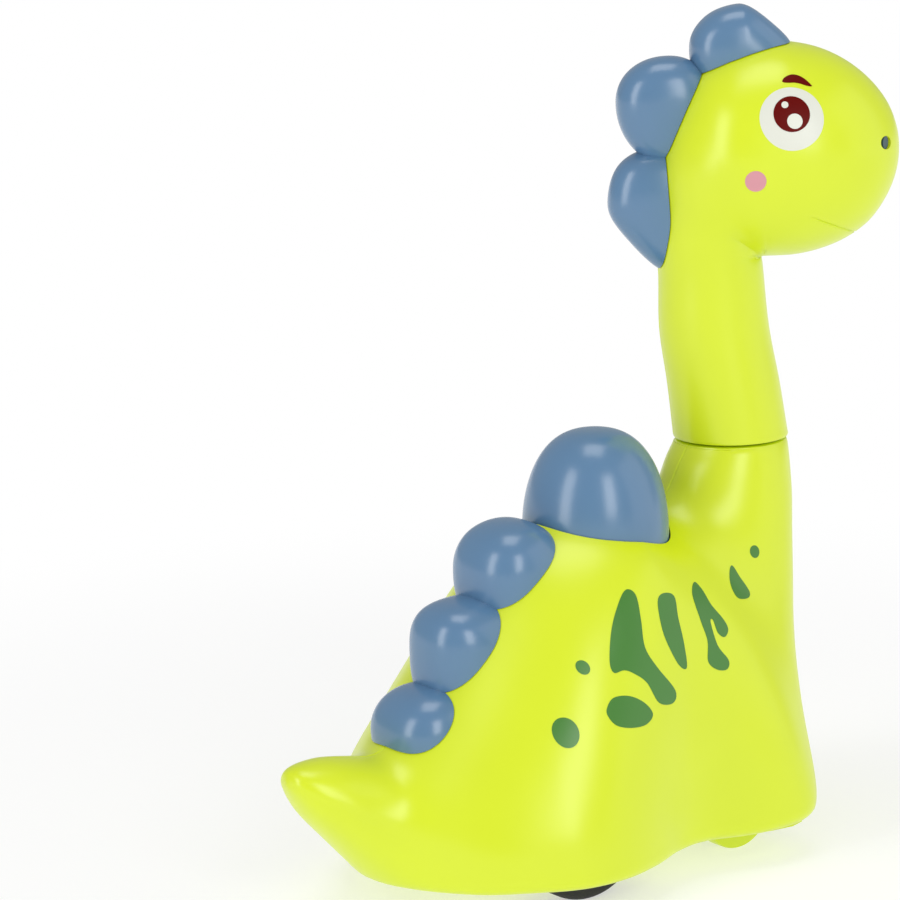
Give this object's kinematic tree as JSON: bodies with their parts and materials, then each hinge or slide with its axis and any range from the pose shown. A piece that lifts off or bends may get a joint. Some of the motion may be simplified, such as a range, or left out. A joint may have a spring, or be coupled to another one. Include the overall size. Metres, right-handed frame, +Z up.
{
  "type": "press-and-go toy dinosaur",
  "caption": "Wheeled long-necked toy dinosaur with a press button on its back that drives the rear axle through gears, a turning head and a front roller.",
  "frame": {"origin": "middle of the object's footprint on the floor the wheels stand on", "axes": "+X towards the front of the body, +Y to its left, +Z up; the head is turned 30 degrees to the right as pictured"},
  "size_m": [0.1519, 0.076, 0.1787],
  "materials": {
    "lime_shell": "satin moulded lime green",
    "slate_crest": "satin moulded slate blue",
    "white_frame": "plain moulded",
    "gear_nylon": "plain moulded",
    "gear_yellow": "plain moulded",
    "steel": "drawn wire and rod",
    "flywheel_steel": "turned",
    "milky_hub": "translucent milky",
    "black_tyre": "smooth rubber",
    "nostril_grey": "plain moulded"
  },
  "bodies": {
    "casing": {"base_plate": "lime_shell", "body_shell_left": "lime_shell", "body_shell_right": "lime_shell", "back_crest": "slate_crest", "gear_frame_left": "white_frame", "gear_frame_right": "white_frame", "guide_bridge": "white_frame", "clutch_spindle": "steel", "middle_spindle": "steel"},
    "head": {"head_shell_left": "lime_shell", "head_shell_right": "lime_shell", "head_crest": "slate_crest", "neck_spigot": "white_frame", "nostril_liner_left": "nostril_grey", "nostril_liner_right": "nostril_grey"},
    "button": {"press_button": "slate_crest", "button_plunger": "white_frame", "return_spring": "steel"},
    "pinion": {"rack_pinion": "gear_nylon"},
    "clutch": {"clutch_gear": "gear_yellow"},
    "middle": {"middle_gear": "gear_nylon", "flywheel": "flywheel_steel"},
    "rear_wheels": {"drive_axle": "steel", "axle_pinion": "gear_nylon", "rear_hub_left": "milky_hub", "rear_hub_right": "milky_hub", "rear_tyre_left": "black_tyre", "rear_tyre_right": "black_tyre"},
    "roller": {"front_roller": "lime_shell"}
  },
  "joints": [
    {"name": "neck_swivel", "type": "hinge", "parent": "casing", "child": "head", "pos_m": [0.0416, 0, 0.0855], "axis": [0, 0, 1], "continuous": true},
    {"name": "button_press", "type": "slide", "parent": "casing", "child": "button", "axis": [0, 0, -1], "range_m": [0, 0.01], "stiffness_N_per_m": 400, "springref_m": -0.004, "deforming": ["return_spring"]},
    {"name": "rack_pinion_turn", "type": "hinge", "parent": "casing", "child": "pinion", "pos_m": [-0.0034, 0, 0.033], "axis": [0, 1, 0], "range_deg": [-1, 116]},
    {"name": "rear_axle_turn", "type": "hinge", "parent": "casing", "child": "rear_wheels", "pos_m": [-0.0178, 0, 0.0156], "axis": [0, 1, 0], "continuous": true},
    {"name": "middle_gear_turn", "type": "hinge", "parent": "casing", "child": "middle", "pos_m": [-0.02336, 0, 0.03167], "axis": [0, 1, 0], "continuous": true},
    {"name": "clutch_gear_turn", "type": "hinge", "parent": "casing", "child": "clutch", "pos_m": [-0.0034, 0, 0.033], "axis": [0, 1, 0], "continuous": true},
    {"name": "front_roller_turn", "type": "hinge", "parent": "casing", "child": "roller", "pos_m": [0.0278, 0, 0.0089], "axis": [0, 1, 0], "continuous": true}
  ],
  "couplings": [
    {"joint": "rack_pinion_turn", "follows": "button_press", "rad_per_m": 200},
    {"joint": "middle_gear_turn", "follows": "rear_axle_turn", "ratio": -0.41667},
    {"joint": "clutch_gear_turn", "follows": "rear_axle_turn", "ratio": 0.13889}
  ]
}
